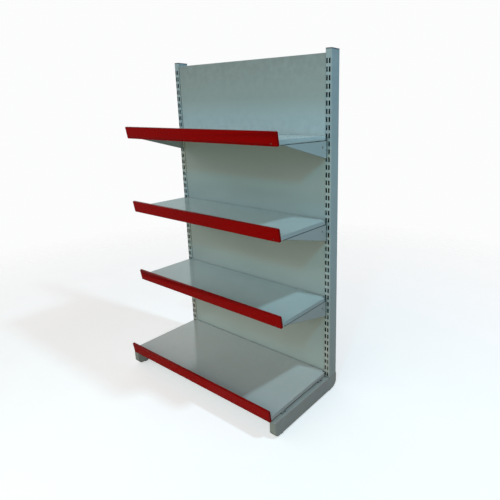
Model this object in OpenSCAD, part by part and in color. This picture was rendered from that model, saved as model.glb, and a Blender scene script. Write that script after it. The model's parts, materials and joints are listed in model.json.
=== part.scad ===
// Single-sided gondola shelving bay: two slotted uprights on base legs, four back panels,
// a base tray and three bracket-hung shelf trays, each with a red front rail.
// Origin: on the floor, at the middle of the footprint. +X right, +Y to the back, +Z up.

/* [Bay] */
// Distance between the centres of the two uprights
bay_w = 916; // [700:1:1250]

/* [Uprights] */
// Width of the upright tube, along X
upright_w = 30; // [30:1:34]
// Depth of the upright tube, along Y
upright_d = 60; // [60:1:70]
// Wall thickness of the upright tube and the leg
wall = 2; // [2:0.1:2.2]
// Outer corner radius of the upright tube
corner_r = 5.5; // [4:0.5:5.5]
// Number of slots in each row
levels = 44; // [44:1:50]
// Height from one slot to the next
slot_pitch = 31.75; // [31.75:0.05:32]
// Length of a slot, along Z
slot_len = 19; // [19:0.25:20]
// Width of a slot, along X
slot_w = 6.4; // [4.2:0.1:6.4]
// Distance between the centres of the two slot rows
row_gap = 12.5; // [12:0.1:13]
// Centre of the lowest slot above the top of the leg
first_slot = 16.25; // [15:0.25:18]
// Upright left above the centre of the highest slot
head_room = 43.5; // [40:0.5:58]

/* [Base legs] */
// Height of the leg box
leg_h = 66; // [64:1:72]
// Reach of the leg in front of the uprights
leg_reach = 383; // [360:1:390]
// Radius of the toe, at the front of the leg
toe_r = 22; // [18:1:24]
// Radius of the heel, at the back of the leg
heel_r = 30; // [24:1:30]
// Gap between the leg and the floor with the levellers at rest
foot_gap = 5; // [5:0.5:8]

/* [Shelf trays] */
// Slot that the top edge of the lower shelf lines up with, counted from 0 at the bottom
lower_level = 12; // [10:1:15]
// Slot of the middle shelf
middle_level = 23; // [20:1:26]
// Slot of the top shelf
top_level = 34; // [31:1:38]
// Height of the base deck above the floor
base_deck = 98; // [98:1:104]
// Reach of the three hung shelves in front of the uprights, to the top of the rail
shelf_reach = 318; // [310:1:360]
// Reach of the base shelf in front of the uprights, to the top of the rail
base_reach = 400; // [400:1:410]
// Sheet thickness of the trays
sheet = 1; // [0.8:0.1:1.2]
// Height of the folded edges of a tray
flange_h = 17; // [17:0.5:18]
// Gap between the ends of a rail and the centre lines of the uprights
end_gap = 2.5; // [2:0.1:3]

/* [Front rails] */
// Height of a rail, measured along its leaning face
rail_h = 53.5; // [53.5:0.5:55]
// Height of the rail's top edge above the deck
rail_above = 29.5; // [28:0.5:30]
// Lean of the rail, top edge forwards
rail_lean = 9; // [7:0.5:10]
// Depth of the rail's folded edges
rail_d = 8; // [7:0.5:9]
// Sheet thickness of the rail
rail_t = 1.2; // [1:0.1:1.4]
// Corner radius of the rail's outline
rail_corner = 4.5; // [4:0.5:4.5]
// Distance of a rail rivet from the end of the rail
rivet_inset = 30; // [25:1:40]
// Depth of a rail rivet below the deck
rivet_drop = 14; // [12:0.5:14]

/* [Brackets] */
// Plate thickness of a bracket
bracket_t = 3; // [2.5:0.1:3]
// Depth of a bracket below the deck, at the upright
bracket_h = 92; // [88:1:94]
// Reach of a bracket in front of the upright
bracket_reach = 290; // [280:1:290]
// Gap between a tray's folded edge and the bracket's top edge
bracket_gap = 1.5; // [1:0.5:5]

/* [Back panels] */
// Height of one panel, in slot pitches
panel_levels = 11; // [11:1:11]
// Distance of the panels behind the front face of the uprights
panel_recess = 4; // [4:0.1:5]
// Depth of a panel's folded edges
panel_d = 15; // [12:1:16]

/* [Levellers] */
// Radius of the leveller's screw
screw_r = 5; // [5:0.5:6]
// Radius of the leveller's pad
pad_r = 14; // [12:0.5:14.5]

/* [Hidden] */
$fn = 64;

// Running gap between touching pieces, so that no two solids share volume
slack = 0.05;
// Overrun of a cut past the surface it opens
over = 1;

// Heights
leg_top = foot_gap + leg_h;
slot_0 = leg_top + first_slot;
upright_top = slot_0 + (levels - 1) * slot_pitch + head_room;
cap_t = 4;
cap_plug_h = 15;
cap_rib = 2;
// Gap all round the plug of a cap
cap_gap = 0.2;

// Places across the bay
upright_x = bay_w / 2;
bracket_x = upright_x - row_gap / 2;
inner_face_x = upright_x - upright_w / 2;
rail_x = upright_x - end_gap;
tray_x = rail_x - rail_t - slack;

// The front face of the uprights, so that the origin is at the middle of the footprint
face_y = (base_reach - upright_d) / 2;

// Tray details
notch_d = 12;
notch_x = inner_face_x - 2;
notch_w = 20;
lip_w = 10;
front_flange_h = 18;
front_lip = 10;
// Gap between the front lip and the side lips
lip_gap = 2;
stiffener_h = 14;
stiffener_w = 36;
stiffener_foot = 12;
stiffener_x = tray_x - lip_w - 1.5;

// Bracket details: the hook rests on the lower edge of the slot that is level with the deck
hook_rest = slot_len / 2;
hook_top = 1;
hook_gap = 0.1;
finger_len = 8;
finger_back = 5.5;
finger_draft = 16;
lower_tab_z = 2 * slot_pitch + 1.5;
lower_tab_h = 10;
lower_tab_len = 6;
back_gap = 0.5;
horn_d = notch_d - 1;
strip_h = 3;
rest_len = 20;
bracket_rest_y = [-70, 30 - bracket_reach];
bracket_hole_r = 4;
bracket_hole_y = -29;
bracket_hole_z = -45;

// Panel details
panels = 4;
panel_h = panel_levels * slot_pitch;
// The panels start this far below the ends of the uprights
panel_drop = 13;
// Heights of a panel's hooks, as parts of its height
hook_places = [0.2, 0.8];
panel_top = upright_top - panel_drop;
panel_x = inner_face_x - 1;
seam = 0.25;
hook_w = 14;
hook_drop = 6;
hook_y = panel_recess + 4;
hook_t = 3;
hook_play = 0.3;
hook_slot_play = 0.5;

// Fasteners
bolt_r = 4;
bolt_head_r = 7.5;
bolt_head_h = 5.3;
nut_h = 6.5;
rivet_r = 2;
rivet_head_r = 3.5;
rivet_crown_r = 2.5;
rivet_head_h = 1.5;
rivet_tail_r = 2.8;
rivet_tail_h = 1;

// Spigot that joins a leg to its upright
spigot_w = 24;
spigot_y = [18, 54];
spigot_wall = 3;
spigot_up = 120;
spigot_down = 30;
spigot_bolt_z = [leg_top + 35, leg_top + 95];
spigot_bolt_y = (spigot_y[0] + spigot_y[1]) / 2;
spigot_bolt_len = 14;

// Rear ties
tie_h = 40;
tie_d = 20;
tie_y = 24;
tie_wall = 1.5;
tie_plate_t = 3;
tie_plate_h = 80;
tie_bolt_gap = 60;
tie_bolt_len = 15;
tie_z = [slot_0 + 5 * slot_pitch, slot_0 + 22 * slot_pitch, upright_top - 60];

// Holes in the back of the uprights, for a wall or for a second bay back to back
rear_hole_r = 4.25;
rear_hole_z = [leg_top + 229, leg_top + 1329];

// Front and back of the opening under a leg
open_y = [toe_r + 8 - leg_reach, upright_d - heel_r - 4];

// Levellers
leveller_y = [45 - leg_reach, 12];
screw_tip = 1;
pad_rim = 2;
pad_slope = 4;
plate_l = 26;
bridge_z = 24;
bridge_t = 3;
screw_top = 42;
pad_h = 4;
leveller_nut_h = 8;
leveller_nut_r = 9.8;

// Rests for the base tray
rest_x = upright_x - 13;
rest_w = 12;
rest_l = 24;
rest_t = 2;
rest_y = [-320, -60];

steel_grey = [0.50, 0.57, 0.58];
panel_grey = [0.47, 0.54, 0.54];
rail_red = [0.48, 0.03, 0.02];
zinc = [0.70, 0.71, 0.72];
plastic_grey = [0.33, 0.35, 0.36];
plastic_black = [0.08, 0.08, 0.08];

function deck_z(level) = slot_0 + level * slot_pitch;

// Moves a shape from the frame of the uprights' front face to the frame of the part
module in_bay() {
    translate([0, face_y, 0]) children();
}

// Draws a shape of the right-hand side, or mirrors it to the left
module on_side(side) {
    if (side > 0) in_bay() children();
    else in_bay() mirror([1, 0, 0]) children();
}

// Extrudes a profile drawn in the YZ plane along X, from x to x + w
module along_x(x, w) {
    translate([x, 0, 0]) rotate([90, 0, 90]) linear_extrude(height = w) children();
}

// Rectangle centred on X, from y = 0 to y = d, with corners of radius r
module rounded_rect(w, d, r) {
    translate([r - w / 2, 0]) square([w - 2 * r, d]);
    translate([-w / 2, r]) square([w, d - 2 * r]);
    for (x = [r - w / 2, w / 2 - r], y = [r, d - r]) translate([x, y]) circle(r = r);
}

// Upright tube with its two rows of slots, panel slots and bolt holes
module upright(side) {
    inner_r = corner_r - wall;
    color(steel_grey) on_side(side) translate([upright_x, 0, 0]) difference() {
        translate([0, 0, leg_top]) linear_extrude(height = upright_top - leg_top)
            rounded_rect(upright_w, upright_d, corner_r);
        translate([0, wall, leg_top - over])
            linear_extrude(height = upright_top - leg_top + 2 * over)
            rounded_rect(upright_w - 2 * wall, upright_d - 2 * wall, inner_r);
        for (i = [0 : levels - 1], x = [-row_gap / 2, row_gap / 2])
            translate([x - slot_w / 2, -over, slot_0 + i * slot_pitch - slot_len / 2])
            cube([slot_w, wall + 2 * over, slot_len]);
        for (z = panel_hook_heights())
            translate([-upright_w / 2 - over, hook_y - hook_slot_play, z - hook_drop - 1])
            cube([wall + 2 * over, sheet + 2 * hook_slot_play, hook_w + hook_drop + 2]);
        for (z = rear_hole_z) translate([0, upright_d + over, z]) rotate([90, 0, 0])
            cylinder(r = rear_hole_r, h = wall + 2 * over);
        for (z = spigot_bolt_z) side_hole(spigot_bolt_y, z);
        for (z = tie_z, dz = [-tie_bolt_gap / 2, tie_bolt_gap / 2])
            side_hole(tie_y + tie_d / 2, z + dz);
    }
}

// Bolt hole through the inner side wall of an upright
module side_hole(y, z) {
    translate([-upright_w / 2 - over, y, z]) rotate([0, 90, 0])
        cylinder(r = bolt_r + slack, h = wall + 2 * over);
}

// Heights of all the panel hooks, two at each side of every panel
function panel_hook_heights() = [for (i = [0 : panels - 1], k = hook_places)
    panel_top - (panels - i - k) * panel_h];

// Plastic cap in the top of an upright
module upright_cap(side) {
    plug_w = upright_w - 2 * (wall + cap_gap);
    plug_d = upright_d - 2 * (wall + cap_gap);
    color(plastic_grey) on_side(side) translate([upright_x, 0, upright_top]) {
        linear_extrude(height = cap_t) rounded_rect(upright_w, upright_d, corner_r);
        translate([0, wall + cap_gap, -cap_plug_h]) difference() {
            linear_extrude(height = cap_plug_h) rounded_rect(plug_w, plug_d, corner_r - wall);
            translate([cap_rib - plug_w / 2, cap_rib, -over])
                cube([plug_w - 2 * cap_rib, plug_d - 2 * cap_rib, cap_plug_h + over]);
        }
    }
}

// Side view of the leg: a bar with a round toe and a round heel, drawn in from its edge
module leg_outline(inset) {
    y0 = inset - leg_reach;
    y1 = upright_d - inset;
    z0 = foot_gap + inset;
    z1 = leg_top - inset;
    toe = toe_r - inset;
    heel = heel_r - inset;
    translate([y0 + toe, z0]) square([y1 - heel - y0 - toe, z1 - z0]);
    translate([y0, z0 + toe]) square([toe, z1 - z0 - toe]);
    translate([y1 - heel, z0 + heel]) square([heel, z1 - z0 - heel]);
    translate([y0 + toe, z0 + toe]) circle(r = toe);
    translate([y1 - heel, z0 + heel]) circle(r = heel);
}

// Base leg: a folded box, open underneath between toe and heel
module base_leg(side) {
    inner_w = upright_w - 2 * wall;
    color(steel_grey) on_side(side) difference() {
        along_x(upright_x - upright_w / 2, upright_w) leg_outline(0);
        along_x(upright_x - inner_w / 2, inner_w) leg_outline(wall);
        translate([upright_x - inner_w / 2, open_y[0], foot_gap - over])
            cube([inner_w, open_y[1] - open_y[0], wall + 2 * over]);
        translate([upright_x - spigot_w / 2 - slack, spigot_y[0] - slack, leg_top - wall - over])
            cube([spigot_w + 2 * slack, spigot_y[1] - spigot_y[0] + 2 * slack, wall + 2 * over]);
    }
}

// Stub tube welded into the leg, which the upright slides over
module leg_spigot(side) {
    depth = spigot_y[1] - spigot_y[0];
    height = spigot_up + spigot_down;
    color(steel_grey) on_side(side)
        translate([upright_x - spigot_w / 2, spigot_y[0], leg_top - spigot_down]) difference() {
            cube([spigot_w, depth, height]);
            translate([spigot_wall, spigot_wall, -over])
                cube([spigot_w - 2 * spigot_wall, depth - 2 * spigot_wall, height + 2 * over]);
            for (z = spigot_bolt_z)
                translate([-over, spigot_bolt_y - spigot_y[0], z - leg_top + spigot_down])
                rotate([0, 90, 0]) cylinder(r = bolt_r + slack, h = spigot_wall + 2 * over);
        }
}

// Hex-head bolt along +X, its head's underside at the origin
module bolt(len) {
    rotate([0, 90, 0]) cylinder(r = bolt_r, h = len);
    translate([-bolt_head_h, 0, 0]) rotate([0, 90, 0])
        cylinder(r = bolt_head_r, h = bolt_head_h, $fn = 6);
}

// Hex nut along +X, with its face at the origin
module nut() {
    rotate([0, 90, 0]) difference() {
        cylinder(r = bolt_head_r, h = nut_h, $fn = 6);
        translate([0, 0, -over]) cylinder(r = bolt_r + slack, h = nut_h + 2 * over);
    }
}

// Bolts from the inner side of the uprights into the spigots
module spigot_bolts() {
    color(zinc) for (side = [-1, 1], z = spigot_bolt_z)
        on_side(side) translate([inner_face_x, spigot_bolt_y, z]) bolt(spigot_bolt_len);
}

// Weld nuts inside the spigots
module spigot_nuts() {
    nut_x = upright_x - spigot_w / 2 + spigot_wall;
    color(zinc) for (side = [-1, 1], z = spigot_bolt_z)
        on_side(side) translate([nut_x, spigot_bolt_y, z]) nut();
}

// Cross plates with a weld nut, inside the legs, that the levellers screw into
module leveller_bridges() {
    inner_w = upright_w - 2 * wall;
    color(zinc) for (side = [-1, 1], y = leveller_y)
        on_side(side) translate([upright_x, y, bridge_z]) difference() {
            union() {
                translate([-inner_w / 2, -plate_l / 2, 0]) cube([inner_w, plate_l, bridge_t]);
                cylinder(r = leveller_nut_r, h = bridge_t + leveller_nut_h, $fn = 6);
            }
            translate([0, 0, -over])
                cylinder(r = screw_r + slack, h = bridge_t + leveller_nut_h + 2 * over);
        }
}

// Leveller screw, standing in the socket of its pad
module leveller_screw(side, y) {
    socket = pad_h / 2;
    shank = screw_top - socket - screw_tip;
    color(zinc) on_side(side) translate([upright_x, y, socket]) {
        cylinder(r = screw_r, h = shank);
        translate([0, 0, shank]) cylinder(r1 = screw_r, r2 = screw_r - screw_tip, h = screw_tip);
    }
}

// Round plastic pad of a leveller
module leveller_pad(side, y) {
    color(plastic_black) on_side(side) translate([upright_x, y, 0]) difference() {
        union() {
            cylinder(r = pad_r, h = pad_rim);
            translate([0, 0, pad_rim])
                cylinder(r1 = pad_r, r2 = pad_r - pad_slope, h = pad_h - pad_rim);
        }
        translate([0, 0, pad_h / 2]) cylinder(r = screw_r + slack, h = pad_h);
    }
}

// Box-section tie between the uprights, with an end plate at each side
module rear_tie(z) {
    tube_x = inner_face_x - tie_plate_t;
    color(steel_grey) in_bay() {
        translate([-tube_x, tie_y, z - tie_h / 2]) difference() {
            cube([2 * tube_x, tie_d, tie_h]);
            translate([-over, tie_wall, tie_wall])
                cube([2 * (tube_x + over), tie_d - 2 * tie_wall, tie_h - 2 * tie_wall]);
        }
        for (x = [-inner_face_x, tube_x]) difference() {
            translate([x, tie_y, z - tie_plate_h / 2]) cube([tie_plate_t, tie_d, tie_plate_h]);
            for (dz = [-tie_bolt_gap / 2, tie_bolt_gap / 2])
                translate([x - over, tie_y + tie_d / 2, z + dz]) rotate([0, 90, 0])
                cylinder(r = bolt_r + slack, h = tie_plate_t + 2 * over);
        }
    }
}

// Bolts that hold the ties to the uprights
module tie_bolts() {
    color(zinc) for (side = [-1, 1], z = tie_z, dz = [-tie_bolt_gap / 2, tie_bolt_gap / 2])
        on_side(side) translate([inner_face_x - tie_plate_t, tie_y + tie_d / 2, z + dz])
        bolt(tie_bolt_len);
}

// Nuts of the tie bolts, inside the uprights
module tie_nuts() {
    color(zinc) for (side = [-1, 1], z = tie_z, dz = [-tie_bolt_gap / 2, tie_bolt_gap / 2])
        on_side(side) translate([inner_face_x + wall, tie_y + tie_d / 2, z + dz]) nut();
}

// Back panel: a shallow folded pan that hooks into the sides of the uprights
module back_panel(i) {
    z0 = panel_top - (panels - i) * panel_h;
    color(panel_grey) in_bay() {
        translate([-panel_x, panel_recess, z0 + seam]) difference() {
            cube([2 * panel_x, panel_d, panel_h - 2 * seam]);
            translate([sheet, sheet, sheet])
                cube([2 * (panel_x - sheet), panel_d, panel_h - 2 * (seam + sheet)]);
        }
        for (k = hook_places, side = [-1, 1]) translate([0, 0, z0 + k * panel_h])
            mirror([side < 0 ? 1 : 0, 0, 0]) panel_hook();
    }
}

// Hook at the right-hand edge of a panel, through the side wall of the upright and down
module panel_hook() {
    behind_wall = inner_face_x + wall + hook_play;
    translate([panel_x - sheet / 2, hook_y, 0])
        cube([behind_wall + hook_t - panel_x + sheet / 2, sheet, hook_w]);
    translate([behind_wall, hook_y, -hook_drop]) cube([hook_t, sheet, hook_w]);
}

// Distance from the deck's front edge to the rail's front face, at a depth below the rail's top
function lean_at(drop) = drop * tan(rail_lean);
// The tray's front edge stands just behind the rail's sheet
function tray_front(reach) = lean_at(rail_above) + (rail_t + 2 * slack) / cos(rail_lean) - reach;

// Side view of a tray's sheet: deck, leaning front flange with a lip, and rear flange
module tray_section(reach) {
    y0 = tray_front(reach);
    y1 = y0 + lean_at(front_flange_h);
    skew = sheet / cos(rail_lean);
    polygon([[0, 0], [y0, 0], [y1, -front_flange_h], [y1 + front_lip, -front_flange_h],
        [y1 + front_lip, sheet - front_flange_h],
        [y1 + skew - lean_at(sheet), sheet - front_flange_h],
        [y0 + skew + lean_at(sheet), -sheet], [-sheet, -sheet], [-sheet, -flange_h],
        [0, -flange_h]]);
}

// Shelf tray with its folded edges and the notches that clear the bracket hooks
module tray(z, reach) {
    y0 = tray_front(reach);
    y1 = y0 + lean_at(flange_h);
    color(steel_grey) in_bay() translate([0, 0, z]) difference() {
        union() {
            along_x(-tray_x, 2 * tray_x) tray_section(reach);
            for (x = [-tray_x, tray_x - sheet]) along_x(x, sheet)
                polygon([[0, 0], [y0, 0], [y1, -flange_h], [0, -flange_h]]);
            for (x = [-tray_x, tray_x - lip_w])
                translate([x, y1 + front_lip + lip_gap, -flange_h])
                cube([lip_w, -y1 - front_lip - lip_gap, sheet]);
        }
        for (x = [notch_x, -notch_x - notch_w]) translate([x, -notch_d, -flange_h - over])
            cube([notch_w, notch_d + over, flange_h + 2 * over]);
        for (x = [rivet_inset - rail_x, rail_x - rivet_inset])
            rail_frame(reach) rivet_hole(x);
    }
}

// The leaning frame of a rail: origin at the top of its front face, Y into the shelf
module rail_frame(reach) {
    translate([0, -reach, rail_above]) rotate([rail_lean, 0, 0]) children();
}

// Hole for a rivet through the rail and the tray's front flange
module rivet_hole(x) {
    translate([x, -over, -(rail_above + rivet_drop) / cos(rail_lean)]) rotate([-90, 0, 0])
        cylinder(r = rivet_r + slack, h = rail_t + sheet + 3 * over);
}

// Red front rail: a pressed strip with rounded corners, its edges folded back round the tray
module rail(z, reach) {
    length = 2 * rail_x;
    inner_r = rail_corner - rail_t;
    color(rail_red) in_bay() translate([0, 0, z]) rail_frame(reach) difference() {
        translate([0, rail_d, -rail_h]) rotate([90, 0, 0]) linear_extrude(height = rail_d)
            rounded_rect(length, rail_h, rail_corner);
        translate([0, rail_d + over, rail_t - rail_h]) rotate([90, 0, 0])
            linear_extrude(height = rail_d - rail_t + over)
            rounded_rect(length - 2 * rail_t, rail_h - 2 * rail_t, inner_r);
        for (x = [rivet_inset - rail_x, rail_x - rivet_inset]) rivet_hole(x);
    }
}

// Rivets that hold a rail to its tray
module rivets(z, reach) {
    grip = rail_t + sheet + 4 * slack;
    color(zinc) in_bay() translate([0, 0, z]) for (x = [rivet_inset - rail_x, rail_x - rivet_inset])
        rail_frame(reach) translate([x, 0, -(rail_above + rivet_drop) / cos(rail_lean)])
        rotate([-90, 0, 0]) {
            cylinder(r = rivet_r, h = grip);
            translate([0, 0, -rivet_head_h])
                cylinder(r1 = rivet_crown_r, r2 = rivet_head_r, h = rivet_head_h);
            translate([0, 0, grip]) cylinder(r = rivet_tail_r, h = rivet_tail_h);
        }
}

// Channel welded under a deck, its feet against the sheet
module stiffener(z, y) {
    half = stiffener_w / 2;
    outer = half + stiffener_foot;
    color(steel_grey) in_bay() translate([0, y, z - sheet]) along_x(-stiffener_x, 2 * stiffener_x)
        polygon([[-outer, 0], [-outer, -sheet], [-half, -sheet], [-half, -stiffener_h],
            [half, -stiffener_h], [half, -sheet], [outer, -sheet], [outer, 0],
            [half - sheet, 0], [half - sheet, sheet - stiffener_h],
            [sheet - half, sheet - stiffener_h], [sheet - half, 0]]);
}

// Side view of a bracket, from the uprights' face and the deck's height
module bracket_outline() {
    top = -flange_h - bracket_gap;
    finger_in = wall + hook_gap;
    finger_tip = finger_in + finger_len * tan(finger_draft);
    finger_out = wall + finger_back;
    tab_low = -lower_tab_z - lower_tab_h / 2;
    tab_high = tab_low + lower_tab_h;
    slope = (bracket_h - flange_h) / bracket_reach;
    run = (bracket_h + top - strip_h) / slope;
    chamfer = 4;
    polygon([[-horn_d, top], [-horn_d, -hook_top - 3], [3 - horn_d, -hook_top],
        [finger_out - 2, -hook_top], [finger_out, -hook_top - 2],
        [finger_out, -hook_rest - finger_len], [finger_tip, -hook_rest - finger_len],
        [finger_in, slack - hook_rest], [-back_gap, slack - hook_rest],
        [-back_gap, tab_high], [lower_tab_len - 2, tab_high], [lower_tab_len, tab_high - 2],
        [lower_tab_len, tab_low], [-back_gap, tab_low], [-back_gap, chamfer - bracket_h],
        [-back_gap - chamfer, -bracket_h + slope * chamfer],
        [-run, top - strip_h], [-bracket_reach, top - strip_h], [-bracket_reach, top]]);
}

// Tapered shelf bracket that hooks into the inner slot row of its upright
module bracket(side, level) {
    color(steel_grey) on_side(side) translate([0, 0, deck_z(level)]) difference() {
        union() {
            along_x(bracket_x - bracket_t / 2, bracket_t) bracket_outline();
            for (y = bracket_rest_y)
                translate([bracket_x - bracket_t / 2, y, -flange_h - bracket_gap - over])
                cube([bracket_t, rest_len, bracket_gap + over - slack]);
        }
        translate([bracket_x - bracket_t, bracket_hole_y, bracket_hole_z]) rotate([0, 90, 0])
            cylinder(r = bracket_hole_r, h = 2 * bracket_t);
    }
}

// Folded clips on top of the legs that carry the base tray
module base_tray_rests() {
    height = base_deck - flange_h - leg_top - slack;
    color(steel_grey) for (side = [-1, 1], y = rest_y)
        on_side(side) translate([rest_x, y, leg_top]) difference() {
            cube([rest_w, rest_l, height]);
            translate([-over, rest_t, -over])
                cube([rest_w + 2 * over, rest_l - 2 * rest_t, height - rest_t + over]);
        }
}

upright(-1);  // upright_left
upright(1);  // upright_right
upright_cap(-1);  // upright_cap_left
upright_cap(1);  // upright_cap_right
base_leg(-1);  // base_leg_left
base_leg(1);  // base_leg_right
leg_spigot(-1);  // leg_spigot_left
leg_spigot(1);  // leg_spigot_right
spigot_bolts();
spigot_nuts();
leveller_bridges();
leveller_screw(-1, leveller_y[0]);  // leveller_screw_front_left
leveller_screw(1, leveller_y[0]);  // leveller_screw_front_right
leveller_screw(-1, leveller_y[1]);  // leveller_screw_rear_left
leveller_screw(1, leveller_y[1]);  // leveller_screw_rear_right
leveller_pad(-1, leveller_y[0]);  // leveller_pad_front_left
leveller_pad(1, leveller_y[0]);  // leveller_pad_front_right
leveller_pad(-1, leveller_y[1]);  // leveller_pad_rear_left
leveller_pad(1, leveller_y[1]);  // leveller_pad_rear_right
rear_tie(tie_z[0]);  // rear_tie_bottom
rear_tie(tie_z[1]);  // rear_tie_middle
rear_tie(tie_z[2]);  // rear_tie_top
tie_bolts();
tie_nuts();
back_panel(0);  // back_panel_1
back_panel(1);  // back_panel_2
back_panel(2);  // back_panel_3
back_panel(3);  // back_panel_4
base_tray_rests();
tray(base_deck, base_reach);  // base_tray
union() {  // base_stiffeners
    stiffener(base_deck, -base_reach / 3);
    stiffener(base_deck, -base_reach * 2 / 3);
}
rail(base_deck, base_reach);  // base_rail
rivets(base_deck, base_reach);  // base_rivets
bracket(-1, lower_level);  // lower_bracket_left
bracket(1, lower_level);  // lower_bracket_right
tray(deck_z(lower_level), shelf_reach);  // lower_tray
stiffener(deck_z(lower_level), -shelf_reach / 2);  // lower_stiffener
rail(deck_z(lower_level), shelf_reach);  // lower_rail
rivets(deck_z(lower_level), shelf_reach);  // lower_rivets
bracket(-1, middle_level);  // middle_bracket_left
bracket(1, middle_level);  // middle_bracket_right
tray(deck_z(middle_level), shelf_reach);  // middle_tray
stiffener(deck_z(middle_level), -shelf_reach / 2);  // middle_stiffener
rail(deck_z(middle_level), shelf_reach);  // middle_rail
rivets(deck_z(middle_level), shelf_reach);  // middle_rivets
bracket(-1, top_level);  // top_bracket_left
bracket(1, top_level);  // top_bracket_right
tray(deck_z(top_level), shelf_reach);  // top_tray
stiffener(deck_z(top_level), -shelf_reach / 2);  // top_stiffener
rail(deck_z(top_level), shelf_reach);  // top_rail
rivets(deck_z(top_level), shelf_reach);  // top_rivets
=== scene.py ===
"""Looks of the gondola shelving bay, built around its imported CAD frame. Metres, +Z up, front towards -Y."""

import json
import math

import bmesh
import bpy
from mathutils import Matrix, Vector


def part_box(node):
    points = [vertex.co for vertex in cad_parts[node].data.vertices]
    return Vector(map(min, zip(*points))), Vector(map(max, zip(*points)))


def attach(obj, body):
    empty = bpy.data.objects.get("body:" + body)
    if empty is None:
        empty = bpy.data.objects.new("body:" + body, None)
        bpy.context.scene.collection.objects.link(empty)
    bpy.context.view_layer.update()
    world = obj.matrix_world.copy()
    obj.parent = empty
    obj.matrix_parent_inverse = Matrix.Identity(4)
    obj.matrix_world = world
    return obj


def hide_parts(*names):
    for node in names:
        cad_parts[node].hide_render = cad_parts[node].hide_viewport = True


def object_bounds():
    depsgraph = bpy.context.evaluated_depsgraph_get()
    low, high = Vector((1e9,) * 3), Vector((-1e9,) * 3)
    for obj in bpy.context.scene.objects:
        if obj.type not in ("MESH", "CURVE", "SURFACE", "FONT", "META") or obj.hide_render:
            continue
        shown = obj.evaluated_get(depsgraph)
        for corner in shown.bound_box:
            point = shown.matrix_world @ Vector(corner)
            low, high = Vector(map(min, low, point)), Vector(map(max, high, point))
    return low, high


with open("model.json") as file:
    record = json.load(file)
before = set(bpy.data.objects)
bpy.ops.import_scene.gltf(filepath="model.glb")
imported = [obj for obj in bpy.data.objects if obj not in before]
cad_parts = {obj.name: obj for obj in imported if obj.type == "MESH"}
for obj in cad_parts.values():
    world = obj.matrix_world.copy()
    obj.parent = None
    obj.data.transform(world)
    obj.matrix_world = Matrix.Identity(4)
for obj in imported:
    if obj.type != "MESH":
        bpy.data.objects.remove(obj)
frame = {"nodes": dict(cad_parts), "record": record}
cad_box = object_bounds()

MM = 0.001
SHARP = math.radians(35)
SAME_POINT = 0.002 * MM
SAME_PLANE = math.radians(0.5)
SMOOTH_UP_TO = math.radians(40)

# Sheet and tube
SHEET = 1.0 * MM
RAIL_SHEET = 1.2 * MM
WALL = 2.0 * MM
PLATE = 3.0 * MM
RAIL_LEAN = math.radians(9)
TUBE_CORNER = 5.5 * MM

# Threads: radius, pitch and depth
M8 = (4 * MM, 1.25 * MM, 0.65 * MM)
M10 = (5 * MM, 1.5 * MM, 0.8 * MM)
M8_HEAD = 5.3 * MM
NUT_BORE = 4.05 * MM


# ---------------------------------------------------------------- mesh tools


def merged(node):
    """A node's shape as a bmesh whose flat faces are whole again."""
    bm = bmesh.new()
    bm.from_mesh(frame["nodes"][node].data)
    bmesh.ops.remove_doubles(bm, verts=bm.verts, dist=SAME_POINT)
    bmesh.ops.dissolve_limit(bm, angle_limit=SAME_PLANE, verts=bm.verts, edges=bm.edges)
    return bm


def strip_width(face):
    """Width of a long thin face, whatever path it follows."""
    return 2 * face.calc_area() / face.calc_perimeter()


def round_edges(bm, edges, radius, segments):
    """Rounds edges by a radius; a radius of 0 leaves them square."""
    if radius and edges:
        bmesh.ops.bevel(
            bm, geom=edges, offset=radius, offset_type="OFFSET", segments=segments,
            profile=0.5, affect="EDGES", clamp_overlap=True,
        )


def sharp_edges(bm, thickness, cut):
    """Sharp edges of a sheet: those along its cut rims, or those along its folds."""
    widest_rim = 1.3 * thickness
    found = []
    for edge in bm.edges:
        if edge.is_manifold and abs(edge.calc_face_angle(0)) > SHARP:
            on_rim = any(strip_width(face) < widest_rim for face in edge.link_faces)
            if on_rim == cut:
                found.append(edge)
    return found


def finish_mesh(bm, node, body, look):
    """Makes a smooth-shaded piece of bm that rides on body and replaces the CAD node."""
    name = node + "_finished"
    bmesh.ops.recalc_face_normals(bm, faces=bm.faces)
    mesh = bpy.data.meshes.new(name)
    bm.to_mesh(mesh)
    bm.free()
    mesh.shade_smooth()
    mesh.set_sharp_from_angle(angle=SMOOTH_UP_TO)
    piece = bpy.data.objects.new(name, mesh)
    bpy.context.scene.collection.objects.link(piece)
    weighted = piece.modifiers.new("weighted_normals", "WEIGHTED_NORMAL")
    weighted.keep_sharp = True
    mesh.materials.append(MATERIALS[look])
    mesh.materials.append(MATERIALS["tube_inside"])
    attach(piece, body)
    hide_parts(node)


def folded_sheet(node, thickness, fold, cut, inside=None):
    """A folded part: bends of radius fold outside and inside within, and cut edges softened by cut."""
    bm = merged(node)
    folds = sharp_edges(bm, thickness, cut=False)
    outer = [edge for edge in folds if edge.calc_face_angle_signed(0) > 0]
    inner = [edge for edge in folds if edge.calc_face_angle_signed(0) < 0]
    inside = max(fold - thickness, 0.3 * MM) if inside is None else inside
    round_edges(bm, outer, fold, segments=4)
    inner = [edge for edge in inner if edge.is_valid]
    round_edges(bm, inner, inside, segments=2)
    round_edges(bm, sharp_edges(bm, thickness, cut=True), cut, segments=2)
    return bm


def islands(node):
    """(lowest corner, highest corner) of each separate solid of a node."""
    bm = merged(node)
    left = set(bm.verts)
    boxes = []
    while left:
        reached = [left.pop()]
        for vertex in reached:
            near = {edge.other_vert(vertex) for edge in vertex.link_edges} & left
            left -= near
            reached.extend(near)
        low = Vector([min(v.co[k] for v in reached) for k in range(3)])
        high = Vector([max(v.co[k] for v in reached) for k in range(3)])
        boxes.append((low, high))
    bm.free()
    return sorted(boxes, key=lambda pair: tuple(round(c, 5) for c in pair[0]))


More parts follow.
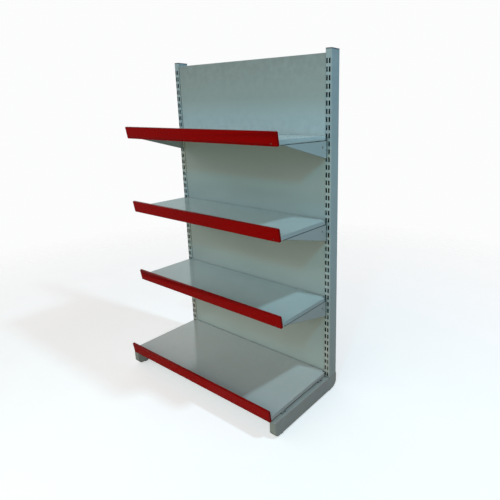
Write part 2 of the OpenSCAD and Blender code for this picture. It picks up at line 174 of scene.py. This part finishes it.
def skin(bm, rings, looped):
    """Joins rings of points, each of the same count, into a tube that loops or has flat ends."""
    rows = [[bm.verts.new(point) for point in ring] for ring in rings]
    if looped:
        rows.append(rows[0])
    count = len(rows[0])
    for lower, upper in zip(rows, rows[1:]):
        for i in range(count):
            j = (i + 1) % count
            bm.faces.new((lower[i], lower[j], upper[j], upper[i]))
    if not looped:
        bm.faces.new(list(reversed(rows[0])))
        bm.faces.new(rows[-1])


def placed(point, base, axes):
    """A point (across, across, along) of a turned part, set at base along the given axes."""
    return base + axes[0] * point[0] + axes[1] * point[1] + axes[2] * point[2]


def axes_along(direction):
    """Three unit axes at right angles, the last one along direction."""
    along = Vector(direction).normalized()
    side = along.orthogonal().normalized()
    return side, along.cross(side), along


def turned(bm, base, direction, profile, count, shape=None, looped=False):
    """Revolves (radius, distance along) pairs round an axis.

    shape(angle, radius, along) may change the radius. A looped profile ends where it began.
    """
    axes = axes_along(direction)
    rings = []
    for radius, along in profile:
        ring = []
        for i in range(count):
            angle = 2 * math.pi * i / count
            r = shape(angle, radius, along) if shape else radius
            ring.append(placed((r * math.cos(angle), r * math.sin(angle), along), base, axes))
        rings.append(ring)
    skin(bm, rings, looped)


def threaded_rod(bm, base, direction, length, thread):
    """A rod with a helical thread and a chamfer at each end."""
    radius, pitch, depth = thread
    rings_per_turn = 6
    steps = max(8, round(rings_per_turn * length / pitch))

    def shape(angle, _, along):
        turn = (along / pitch - angle / (2 * math.pi)) % 1
        groove = 1 - abs(2 * turn - 1)
        chamfer = max(0.0, depth - min(along, length - along))
        return radius - max(depth * groove, chamfer)

    profile = [(radius, length * i / steps) for i in range(steps + 1)]
    turned(bm, base, direction, profile, 24, shape)


def flat_radius_of(low, high):
    """Distance from a hexagon's centre to its flats, for one that stands on a corner between low and high."""
    return (high.z - low.z) / 2 * math.cos(math.pi / 6)


def hexagon(angle, flat_radius):
    """Radius of a hexagon at an angle, for a given distance from its centre to its flats."""
    sixth = math.pi / 3
    return flat_radius / math.cos((angle % sixth) - sixth / 2)


def hex_body(bm, base, direction, flat_radius, height, bore=None):
    """Hex head with a dished top, or a nut with a bore, its corners chamfered by a cone."""
    corner = flat_radius / math.cos(math.pi / 6)
    drop = 0.35 * (corner - flat_radius)

    def shape(angle, limit, _):
        return min(hexagon(angle, flat_radius), limit)

    face = flat_radius * 0.97
    outside = [(face, 0), (corner, drop), (corner, height - drop), (face, height)]
    if bore:
        mouth, bevel = bore + 0.4 * MM, 0.5 * MM
        inside = [(mouth, height), (bore, height - bevel), (bore, bevel), (mouth, 0)]
        turned(bm, base, direction, outside + inside, 48, shape, looped=True)
    else:
        dish = [(face * 0.8, height - 0.3 * MM), (face * 0.3, height - 0.35 * MM)]
        turned(bm, base, direction, outside + dish, 48, shape)


# ---------------------------------------------------------------- materials

# Paint
STEEL = (0.50, 0.585, 0.585)
PANEL = (0.43, 0.50, 0.49)
RED = (0.33, 0.001, 0.0005)

# Dirt and wear, and colours that paint light and shade
DUST = (0.42, 0.40, 0.36, 1)
# Floor dust, and painted warm light from the floor
FLOOR_DUST_AND_WARM_LIGHT = (0.75, 0.60, 0.55)
LEG_DIRT = (0.20, 0.11, 0.03)
# Painted warm light, lower down
WARM_LOW_LIGHT = (0.55, 0.47, 0.40)
# Painted shade, darker and bluer towards the top of the uprights
TOP_BLUE_SHADE = (0.13, 0.20, 0.27)
# Painted shade, darker towards the top of the back panels
PANEL_TOP_SHADE = (0.10, 0.095, 0.085)
# Painted light bounced off the top deck onto the panel just above it
DECK_BOUNCE_GLOW = (0.85, 0.97, 1.0)
BARE_CHIP = (0.10, 0.105, 0.11, 1)
PRIMER_CHIP = (0.055, 0.03, 0.028, 1)
DULL_ZINC = (0.32, 0.31, 0.29, 1)
CREVICE_REACH = 9 * MM


class Shader:
    """The nodes of one procedural material, or of the surroundings."""

    def __init__(self, owner, place="Object"):
        owner.use_nodes = True
        self.owner = owner
        self.tree = owner.node_tree
        self.tree.nodes.clear()
        self.place = self.add("TexCoord", output=place)

    def add(self, kind, inputs=None, output=0, **settings):
        """Adds a shader node, links or sets its inputs, and returns one of its outputs."""
        made = self.tree.nodes.new("ShaderNode" + kind)
        for key, value in settings.items():
            setattr(made, key, value)
        for key, value in (inputs or {}).items():
            if isinstance(value, bpy.types.NodeSocket):
                self.tree.links.new(value, made.inputs[key])
            else:
                made.inputs[key].default_value = value
        return made.outputs[output]

    def noise(self, scale, detail=2.0, stretch=(1, 1, 1), offset=0.0):
        where = self.add("Mapping", {"Vector": self.place, "Scale": stretch, "Location": (offset,) * 3})
        return self.add("TexNoise", {"Vector": where, "Scale": scale, "Detail": detail})

    def remap(self, value, low, high, to_low=0.0, to_high=1.0):
        return self.add(
            "MapRange",
            {"Value": value, "From Min": low, "From Max": high, "To Min": to_low, "To Max": to_high},
            clamp=True,
        )

    def math(self, operation, a, b=0.0):
        return self.add("Math", {0: a, 1: b}, operation=operation, use_clamp=False)

    def mix(self, factor, first, second):
        return self.add("MixRGB", {"Fac": factor, "Color1": first, "Color2": second})

    def axis(self, vector, name):
        return self.add("SeparateXYZ", {0: vector}, output=name)

    def normal_along(self, name):
        return self.axis(self.add("NewGeometry", output="Normal"), name)

    def edge(self, radius):
        """1 along edges within radius, 0 on flat faces."""
        soft = self.add("Bevel", {"Radius": radius}, samples=4)
        true = self.add("NewGeometry", output="Normal")
        dot = self.add("VectorMath", {0: soft, 1: true}, output="Value", operation="DOT_PRODUCT")
        return self.remap(dot, 0.985, 0.8)

    def facing_up(self):
        return self.remap(self.normal_along("Z"), 0.6, 0.98)

    def bump(self, layers):
        """Stacks (height, strength, distance) layers into one normal."""
        normal = None
        for height, strength, distance in layers:
            inputs = {"Height": height, "Strength": strength, "Distance": distance}
            if normal:
                inputs["Normal"] = normal
            normal = self.add("Bump", inputs)
        return normal

    def output(self, kind, surface):
        output = self.tree.nodes.new("ShaderNodeOutput" + kind)
        self.tree.links.new(surface, output.inputs["Surface"])
        return self.owner

    def finish(self, **values):
        inputs = {key.replace("_", " "): value for key, value in values.items()}
        return self.output("Material", self.add("BsdfPrincipled", inputs))


def material(name):
    return Shader(bpy.data.materials.new(name))


def shade(colour, factor):
    """A colour made brighter or darker, opaque."""
    return tuple(c * factor for c in colour[:3]) + (1.0,)


def gloss_coat(
    name, colour, gloss, drift, dust, chip_colour, ripple=1.0, mottle=1.0, coat=0.35, shine=0.5,
    tint=(1, 1, 1, 1), rim=1.25, rim_width=1.6, films=(), crevice=0.0, top_grime=None, kicked=0.0,
):
    """Baked enamel on steel: slow colour drift, orange peel, sheet ripple, scuffs, dust and chipped edges.

    gloss      roughness of the clean paint
    drift      how far its colour wanders
    dust       cover of the dust on faces that look up
    ripple     waviness of the sheet; mottle does the same for smears and scuffs
    coat       strength of the clear layer's reflection; shine and tint are the paint's own
    rim        brightness of the edges against the colour, within rim_width millimetres; below 1 it is painted shade along the edges
    films      colour by height, stains or painted light and shade: where it begins, where it is full, lowest height, cover, colour
    crevice  cover of the painted shade in narrow corners
    top_grime  shares of the part's height between which painted shade turns it dark
    kicked  cover of the painted shade on faces that look forwards
    """
    s = material(name)
    cloud = s.noise(1.7, 2)
    smear = s.noise(9, 4, stretch=(1, 1, 2.5), offset=3)
    grain = s.noise(700, 2)
    scuff = s.remap(s.noise(60, 6, stretch=(0.15, 1, 1), offset=7), 0.62, 0.72)

    # Paint: drift, smears and grain
    tone = s.mix(s.remap(cloud, 0.3, 0.7), shade(colour, 1 - drift), shade(colour, 1 + drift))
    tone = s.mix(s.remap(smear, 0.45, 0.7, 0, 0.25 * mottle), tone, shade(colour, 0.86))
    tone = s.mix(s.remap(grain, 0.3, 0.7, 0, 0.12), tone, shade(colour, 1.12))

    # Settled dust
    settled = s.math("MULTIPLY", s.facing_up(), s.remap(s.noise(22, 5, offset=11), 0.35, 0.75, 0, dust))
    tone = s.mix(settled, tone, DUST)

    # Edges: paler where rim is above 1, painted shade where it is below 1, and worn through to the metal in
    # places
    edge = s.edge(rim_width * MM)
    worn = s.math("MULTIPLY", edge, s.remap(s.noise(45, 5, offset=5), 0.48, 0.62))
    chips = s.math("MULTIPLY", worn, s.remap(s.noise(260, 3, offset=9), 0.55, 0.62))
    tone = s.mix(s.math("MULTIPLY", edge, 0.35 if rim > 1 else 0.8), tone, shade(colour, rim))
    tone = s.mix(chips, tone, chip_colour)

    # Painted shade in the lower half of a bend, which looks down at a slant
    slant = s.normal_along("Z")
    bend = s.math("MULTIPLY", s.remap(slant, -0.2, -0.5), s.remap(slant, -0.99, -0.85))
    tone = s.mix(s.math("MULTIPLY", bend, 0.9), tone, shade(colour, 0.1))

    height = s.axis(s.place, "Z")
    # Colour films by height: stains, or painted light and shade
    for clean, worst, lowest, cover, film_colour in films:
        patchy = s.math("MULTIPLY", s.remap(height, clean, worst), s.remap(s.noise(35, 6), 0.2, 0.6, 0.6, 1))
        patchy = s.math("MULTIPLY", patchy, s.math("GREATER_THAN", height, lowest))
        tone = s.mix(s.math("MULTIPLY", patchy, cover), tone, (*film_colour, 1))
    # Painted shadow band near the part's top, by share of its height
    if top_grime:
        part_height = s.axis(s.add("TexCoord", output="Generated"), "Z")
        tone = s.mix(s.remap(part_height, *top_grime, 0, 0.9), tone, shade(colour, 0.08))
    # Painted shade on faces that look forwards
    if kicked:
        tone = s.mix(s.remap(s.normal_along("Y"), -0.3, -0.9, 0, kicked), tone, shade(colour, 0.45))
    # Painted shade in narrow corners, from ambient occlusion
    if crevice:
        shut = s.add("AmbientOcclusion", {"Distance": CREVICE_REACH}, output="AO")
        tone = s.mix(s.remap(shut, 0.85, 0.45, 0, crevice), tone, shade(colour, 0.12))

    rough = s.remap(smear, 0.3, 0.8, gloss * (1 - 0.2 * mottle), gloss * (1 + 0.5 * mottle))
    rough = s.math("ADD", rough, s.math("MULTIPLY", settled, 0.5))
    rough = s.math("ADD", rough, s.math("MULTIPLY", scuff, 0.06 * mottle))
    rough = s.math("ADD", rough, s.math("MULTIPLY", chips, 0.3))
    normal = s.bump([
        (s.noise(3.5, 1, offset=2), 0.35 * ripple, 1.2 * MM),
        (s.noise(320, 2), 0.10, 0.10 * MM),
        (chips, 0.5, -0.12 * MM),
    ])
    return s.finish(
        Base_Color=tone, Roughness=rough, Normal=normal, Coat_Weight=coat, Coat_Roughness=gloss * 0.5,
        Specular_Tint=tint, Specular_IOR_Level=shine,
    )


def steel_paint(name, gloss, **looks):
    """The grey paint of the welded and folded steel parts."""
    return gloss_coat(
        name, STEEL, gloss, drift=0.04, dust=0.10, chip_colour=BARE_CHIP, coat=0.25, **looks
    )


def bare_metal(name, colour, spangle, roughness):
    """Zinc-plated steel: crystalline spangle, drawing lines, dull spots and bright edges."""
    s = material(name)
    crystal = s.add("TexVoronoi", {"Vector": s.place, "Scale": spangle}, output="Color")
    value = s.add("SeparateColor", {0: crystal}, output="Red")
    lines = s.noise(500, 3, stretch=(0.05, 1, 1))
    dull = s.remap(s.noise(80, 4, offset=4), 0.5, 0.7)
    tone = s.mix(value, shade(colour, 0.82), shade(colour, 1.1))
    tone = s.mix(s.math("MULTIPLY", dull, 0.5), tone, DULL_ZINC)
    tone = s.mix(s.edge(0.6 * MM), tone, shade(colour, 1.2))
    rough = s.remap(value, 0, 1, roughness * 0.75, roughness * 1.25)
    rough = s.math("ADD", rough, s.math("MULTIPLY", dull, 0.2))
    normal = s.bump([(lines, 0.15, 0.05 * MM), (value, 0.1, 0.03 * MM)])
    return s.finish(Base_Color=tone, Metallic=0.95, Roughness=rough, Normal=normal)


def scale_and_shade(name, colour):
    """Unpainted tube steel, matt mill scale with faint oily patches, darkened nearly to black as painted
    shade.
    """
    s = material(name)
    patch = s.remap(s.noise(40, 4, offset=8), 0.35, 0.7)
    tone = s.mix(patch, shade(colour, 0.6), shade(colour, 1.5))
    tone = s.mix(s.math("MULTIPLY", s.edge(0.3 * MM), 0.4), tone, shade(colour, 3))
    rough = s.remap(patch, 0, 1, 0.75, 0.95)
    normal = s.bump([(s.noise(900, 2), 0.2, 0.05 * MM)])
    return s.finish(Base_Color=tone, Roughness=rough, Normal=normal, Specular_IOR_Level=0.05)


def moulded_plastic(name, colour, roughness):
    """Moulded plastic with a fine spark-eroded grain, scuffs and paler worn edges."""
    s = material(name)
    grain = s.noise(1400, 2)
    flow = s.noise(30, 3, stretch=(1, 1, 0.3))
    scuff = s.remap(s.noise(150, 6, stretch=(0.2, 1, 1), offset=6), 0.6, 0.7)
    tone = s.mix(s.remap(flow, 0.3, 0.7), shade(colour, 0.9), shade(colour, 1.12))
    tone = s.mix(s.math("MULTIPLY", scuff, 0.4), tone, shade(colour, 1.8))
    tone = s.mix(s.math("MULTIPLY", s.edge(0.8 * MM), 0.5), tone, shade(colour, 1.5))
    rough = s.remap(grain, 0.3, 0.7, roughness * 0.85, roughness * 1.15)
    normal = s.bump([(grain, 0.25, 0.08 * MM), (scuff, 0.2, 0.05 * MM)])
    return s.finish(Base_Color=tone, Roughness=rough, Normal=normal)


# Dust on the steel below knee height with painted warm light from the floor, and the dirt of the legs
LOW_DIRT_AND_WARM_LIGHT = ((0.45, 0.08, 0, 0.4, FLOOR_DUST_AND_WARM_LIGHT), (80 * MM, 72 * MM, 0, 0.28, LEG_DIRT))
TOP_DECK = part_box("top_tray")[1].z - 2 * MM

MATERIALS = {
    # Corners darkened: painted shade; low down, floor dust with painted warm light, and dirt at the feet
    "steel_grey": steel_paint("steel_grey_coat", 0.13, crevice=0.9, films=LOW_DIRT_AND_WARM_LIGHT),
    # As above, and faces that look forwards darkened: painted shade
    "leg_grey": steel_paint("leg_grey_coat", 0.13, crevice=0.9, films=LOW_DIRT_AND_WARM_LIGHT, kicked=0.75),
    # Edges and corners darkened, and a dark band at the top under the tray's flange: painted shade; warmer
    # low down: painted warm light
    "bracket_grey": steel_paint(
        "bracket_grey_coat", 0.16, crevice=0.9, rim=0.1, rim_width=3.0,
        films=((1.0, 0.7, 0, 0.3, WARM_LOW_LIGHT),), top_grime=(0.765, 0.80),
    ),
    # Slot rims, edges and corners darkened: painted shade; warmer low down: painted warm light; darker and
    # bluer near the top: painted shade
    "upright_grey": steel_paint(
        "upright_grey_coat", 0.16, crevice=0.5, rim=0.05, rim_width=3.4,
        films=((0.6, 0.1, 0, 0.45, WARM_LOW_LIGHT), (1.0, 1.45, 0, 0.3, TOP_BLUE_SHADE)),
    ),
    # Darker towards the top: painted shade; a paler band just above the top deck: painted light bounced off
    # that deck
    "panel_grey": gloss_coat(
        "panel_grey_coat", PANEL, 0.22, drift=0.05, dust=0.05, chip_colour=BARE_CHIP,
        mottle=0.3, ripple=0.5,
        films=((1.24, 1.48, 0, 0.42, PANEL_TOP_SHADE), (1.32, 1.19, TOP_DECK, 0.42, DECK_BOUNCE_GLOW)),
    ),
    # Edges darkened over 4.5 mm: painted shade
    "rail_red": gloss_coat(
        "rail_red_coat", RED, 0.24, drift=0.10, dust=0.02, chip_colour=PRIMER_CHIP,
        ripple=0.6, coat=0.0, shine=0.12, tint=(0.75, 0.04, 0.03, 1), rim=0.3, rim_width=4.5,
    ),
    # Inside of the tubes and the slots' cut faces: bare steel, darkened nearly to black as painted shade
    "tube_inside": scale_and_shade("tube_inside_scale_and_shade", (0.005, 0.006, 0.0065)),
    "zinc_steel": bare_metal("zinc_steel_plate", (0.62, 0.63, 0.64), 420, 0.34),
    "rivet_steel": bare_metal("rivet_steel_dull", (0.26, 0.05, 0.045), 900, 0.6),
    "plastic_grey": moulded_plastic("plastic_grey_moulded", (0.16, 0.175, 0.185), 0.42),
    "plastic_black": moulded_plastic("plastic_black_moulded", (0.014, 0.014, 0.015), 0.5),
}


# ---------------------------------------------------------------- pieces


def upright(node):
    """Slotted tube, painted outside; near-black scale, painted shade, covers its inside and the depth of its
    slots.
    """
    paint_depth = 0.3 * WALL
    bm = folded_sheet(node, WALL, 0.8 * MM, 0.25 * MM, inside=0)
    low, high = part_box(node)
    centre, flat = (low + high) / 2, (high - low) / 2 - Vector((TUBE_CORNER,) * 3)
    for face in bm.faces:
        place = face.calc_center_median() - centre
        past = Vector((abs(place.x) - flat.x, abs(place.y) - flat.y))
        outside = Vector((max(past.x, 0), max(past.y, 0))).length + min(max(past), 0)
        face.material_index = 1 if TUBE_CORNER - outside > paint_depth else 0
    return bm


def base_leg(node):
    return folded_sheet(node, WALL, 5 * MM, 0.4 * MM, inside=0)


def tray(node):
    return folded_sheet(node, SHEET, 2.0 * MM, 0.2 * MM)


def panel(node):
    return folded_sheet(node, SHEET, 1.6 * MM, 0.2 * MM)


def rail(node):
    return folded_sheet(node, RAIL_SHEET, 1.8 * MM, 0.25 * MM)


def stiffener(node):
    return folded_sheet(node, SHEET, 1.8 * MM, 0.2 * MM)


def plate(node):
    return folded_sheet(node, PLATE, 0.5 * MM, 0.5 * MM, inside=0.3 * MM)


def cap(node):
    """Cap with a rounded crown; its plug keeps square edges."""
    bm = merged(node)
    top = max(vertex.co.z for vertex in bm.verts)
    crown = [
        edge for edge in sharp_edges(bm, 0.5 * MM, cut=False)
        if all(vertex.co.z > top - 0.1 * MM for vertex in edge.verts)
    ]
    round_edges(bm, crown, 3.9 * MM, segments=6)
    return bm


def tube(node):
    return folded_sheet(node, PLATE, 1.5 * MM, 0.4 * MM, inside=0)


def bolts(node):
    """M8 hex bolts along X, heads towards the middle of the bay."""
    bm = bmesh.new()
    for low, high in islands(node):
        centre = (low + high) / 2
        outwards = 1 if centre.x > 0 else -1
        inner = low.x if outwards > 0 else high.x
        seat = Vector((inner + outwards * M8_HEAD, centre.y, centre.z))
        hex_body(bm, seat, (-outwards, 0, 0), flat_radius_of(low, high), M8_HEAD)
        threaded_rod(bm, seat, (outwards, 0, 0), (high.x - low.x) - M8_HEAD, M8)
    return bm


def nuts(node):
    """M8 hex nuts along X."""
    bm = bmesh.new()
    for low, high in islands(node):
        centre = (low + high) / 2
        base = Vector((low.x, centre.y, centre.z))
        hex_body(bm, base, (1, 0, 0), flat_radius_of(low, high), high.x - low.x, bore=NUT_BORE)
    return bm


def rivets(node):
    """Domed blind rivets, square to the leaning rail."""
    head, shank, tail = 3.5 * MM, 2.0 * MM, 3.0 * MM
    dome = 1.5 * MM
    bm = bmesh.new()
    direction = Vector((0, math.cos(RAIL_LEAN), math.sin(RAIL_LEAN)))
    for low, high in islands(node):
        centre = (low + high) / 2
        depth = (high.y - low.y) - 2 * head * math.sin(RAIL_LEAN)
        base = centre - direction * depth / 2
        stem = [(0.55 * MM, 0.35 * MM), (0.75 * MM, 0.1 * MM)]
        domed = [
            (head * math.sin(a), dome * (1 - math.cos(a)) + 0.05 * MM)
            for a in (math.radians(18 * k) for k in range(1, 6))
        ]
        body = [(shank, dome + 0.1 * MM), (shank, depth - 1.0 * MM), (tail, depth - 0.9 * MM)]
        end = [(tail * 0.9, depth - 0.3 * MM), (tail * 0.5, depth)]
        turned(bm, base, direction, stem + domed + body + end, 28)
    return bm


def foot_of(node):
    """Middle of the underside of a node's box, with the box's radius and height."""
    low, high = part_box(node)
    base = Vector(((low.x + high.x) / 2, (low.y + high.y) / 2, low.z))
    return base, (high.x - low.x) / 2, high.z - low.z


def leveller_screw(node):
    """M10 screw with a rolled thread."""
    base, _, height = foot_of(node)
    bm = bmesh.new()
    threaded_rod(bm, base, (0, 0, 1), height, M10)
    return bm


def leveller_pad(node):
    """Plastic pad with a fluted rim, a coned top and a socket for the screw."""
    base, radius, height = foot_of(node)
    socket = 5.1 * MM
    flutes, flute_depth = 16, 0.45 * MM

    def flute(angle, r, _):
        return r - flute_depth * max(0.0, math.cos(flutes * angle)) if r > 0.8 * radius else r

    rim = [
        (radius - 1.2 * MM, 0), (radius - 0.3 * MM, 0.3 * MM), (radius, 0.9 * MM),
        (radius, 1.7 * MM), (radius - 0.5 * MM, 2.2 * MM),
    ]
    cone = [(radius - 3.6 * MM, height - 0.2 * MM), (radius - 4.2 * MM, height)]
    hole = [(socket + 0.5 * MM, height), (socket, height - 0.4 * MM), (socket, height / 2)]
    bm = bmesh.new()
    turned(bm, base, (0, 0, 1), rim + cone + hole, 96, flute)
    return bm


# Part of a node's name, the function that makes its piece, and its material. The first match counts.
RECIPES = [
    ("upright_cap", cap, "plastic_grey"),
    ("upright", upright, "upright_grey"),
    ("base_leg", base_leg, "leg_grey"),
    ("leg_spigot", tube, "steel_grey"),
    ("spigot_bolts", bolts, "zinc_steel"),
    ("tie_bolts", bolts, "zinc_steel"),
    ("nuts", nuts, "zinc_steel"),
    ("leveller_bridges", plate, "zinc_steel"),
    ("leveller_screw", leveller_screw, "zinc_steel"),
    ("leveller_pad", leveller_pad, "plastic_black"),
    ("rear_tie", tube, "steel_grey"),
    ("back_panel", panel, "panel_grey"),
    ("base_tray_rests", tube, "steel_grey"),
    ("tray", tray, "steel_grey"),
    ("stiffener", stiffener, "steel_grey"),
    ("rail", rail, "rail_red"),
    ("rivets", rivets, "rivet_steel"),
    ("bracket", plate, "bracket_grey"),
]


def finish_nodes():
    """Replaces every CAD node by its finished piece."""
    for body, nodes in frame["record"]["behaviour"]["bodies"].items():
        for node in nodes:
            recipe, look = next((make, look) for key, make, look in RECIPES if key in node)
            finish_mesh(recipe(node), node, body, look)


finish_nodes()


# ---------------------------------------------------------------- stage, light and camera

BACKDROP = (0.97, 0.975, 0.975, 1)
FLOOR_GLOW = 0.5
FLOOR_RADIUS = 3.3

# Light from each side: level with the bay, and raised by about 27 degrees
SKY = {
    "overhead": (0.10, 0.04, 0.03),
    "front": ((0.03, 0.11, 0.15), (1.17, 1.19, 1.20)),
    "back": ((0.04, 0.16, 0.23), (0.0, 0.0, 0.0)),
    "right": ((0.03, 0.02, 0.03), (0.15, 0.03, 0.0)),
    "left": ((0.02, 0.10, 0.10), (1.52, 1.59, 1.54)),
    "below": (0.63, 0.71, 0.74),
}

# A bright window behind the bay and to its left
WINDOW_DIRECTION = (-0.679, 0.611, 0.407)
WINDOW_EDGE = (0.9955, 0.9995)  # cosines at which its glow begins and is full
WINDOW_LIGHT = (0.6, 0.85, 0.95)

# Camera: millimetres, shares of the picture's width, metres and angles
LENS = 31.77
LENS_SHIFT = (-0.1148, -0.0550)
EYE = (1.4547, -1.3346, 1.2662)
TURNED, LOOKING_DOWN, ROLLED = math.radians(36.19), math.radians(14.255), math.radians(-0.286)


def studio_world():
    """Surroundings: plain and pale to the camera, a soft studio of large lobes to everything else."""
    s = Shader(bpy.data.worlds.new("studio"), "Generated")
    side, away, up = (s.axis(s.place, name) for name in "XYZ")

    def around(height, width):
        """1 at a height, fading to 0 at width from it."""
        distance = s.math("ABSOLUTE", s.math("SUBTRACT", up, height))
        return s.math("MAXIMUM", s.math("SUBTRACT", 1.0, s.math("DIVIDE", distance, width)), 0.0)

    def towards(axis, sign):
        return s.math("MAXIMUM", s.math("MULTIPLY", axis, sign), 0.0)

    overhead = s.math("MAXIMUM", s.math("DIVIDE", s.math("SUBTRACT", up, 0.55), 0.45), 0.0)
    level, raised = around(0.0, 0.45), around(0.45, 0.45)
    lobes = [(overhead, SKY["overhead"]), (towards(up, -1.0), SKY["below"])]
    facing = s.add(
        "VectorMath", {0: s.place, 1: WINDOW_DIRECTION}, output="Value", operation="DOT_PRODUCT"
    )
    lobes.append((s.remap(facing, *WINDOW_EDGE), WINDOW_LIGHT))
    sides = (("front", away, -1.0), ("back", away, 1.0), ("right", side, 1.0), ("left", side, -1.0))
    for name, axis, sign in sides:
        lobes.append((s.math("MULTIPLY", level, towards(axis, sign)), SKY[name][0]))
        lobes.append((s.math("MULTIPLY", raised, towards(axis, sign)), SKY[name][1]))
    light = (0, 0, 0)
    for amount, colour in lobes:
        tinted = s.add("VectorMath", {0: colour, "Scale": amount}, operation="SCALE")
        light = s.add("VectorMath", {0: light, 1: tinted}, operation="ADD")
    soft = s.add("Background", {"Color": light})
    plain = s.add("Background", {"Color": BACKDROP})
    seen = s.add("LightPath", output="Is Camera Ray")
    bpy.context.scene.world = s.output("World", s.add("MixShader", {0: seen, 1: soft, 2: plain}))


def floor():
    """Pale floor disc that fades into the surroundings."""
    s = material("pale_floor")
    distance = s.add("VectorMath", {0: s.place}, output="Value", operation="LENGTH")
    fade = s.remap(distance, 1.2, 3.2)
    seen = s.add("LightPath", output="Is Camera Ray")
    speckle = s.mix(s.noise(6, 3), (0.86, 0.82, 0.82, 1), (0.92, 0.88, 0.88, 1))
    matt = s.add("BsdfDiffuse", {"Color": s.mix(seen, (0.45, 0.43, 0.40, 1), speckle)})
    glow = s.add("Emission", {"Color": BACKDROP, "Strength": s.math("MULTIPLY", seen, FLOOR_GLOW)})
    clear = s.add("BsdfTransparent")
    lit = s.add("AddShader", {0: matt, 1: glow})
    s.output("Material", s.add("MixShader", {0: fade, 1: lit, 2: clear}))
    bm = bmesh.new()
    bmesh.ops.create_circle(bm, cap_ends=True, segments=96, radius=FLOOR_RADIUS)
    mesh = bpy.data.meshes.new("floor")
    bm.to_mesh(mesh)
    bm.free()
    mesh.materials.append(s.owner)
    disc = bpy.data.objects.new("floor", mesh)
    bpy.context.scene.collection.objects.link(disc)


def soft_light(name, place, target, size, power, colour):
    """A round area lamp at place that faces target."""
    data = bpy.data.lights.new(name, "AREA")
    data.shape = "DISK"
    data.size = size
    data.energy = power
    data.color = colour
    lamp = bpy.data.objects.new(name, data)
    lamp.location = place
    lamp.rotation_euler = (Vector(target) - Vector(place)).to_track_quat("-Z", "Y").to_euler()
    bpy.context.scene.collection.objects.link(lamp)
    return lamp


def camera():
    """Eye height, right of the bay and in front of it, with the lens shifted as a cropped picture's is."""
    data = bpy.data.cameras.new("camera")
    data.sensor_width = 36
    data.lens = LENS
    data.shift_x, data.shift_y = LENS_SHIFT
    eye = bpy.data.objects.new("camera", data)
    eye.matrix_world = (
        Matrix.Translation(EYE)
        @ Matrix.Rotation(TURNED, 4, "Z")
        @ Matrix.Rotation(math.radians(90) - LOOKING_DOWN, 4, "X")
        @ Matrix.Rotation(ROLLED, 4, "Z")
    )
    bpy.context.scene.collection.objects.link(eye)
    bpy.context.scene.camera = eye


studio_world()
floor()
middle = (cad_box[0] + cad_box[1]) / 2
key = soft_light("key", (1.42, -2.45, 2.5), middle, 0.3, 15, (0.13, 0.79, 1.0))
key.visible_glossy = False  # its mirror image would glare on the decks
soft_light("side", (2.2, 0.52, 4.0), middle, 0.3, 56, (0.55, 0.86, 1.0))
soft_light("fill", (0.1, -2.6, 0.5), (0, 0, 0.5), 1.3, 12.5, (1.0, 0.80, 0.36))
camera()
bpy.context.scene.view_settings.view_transform = "Standard"
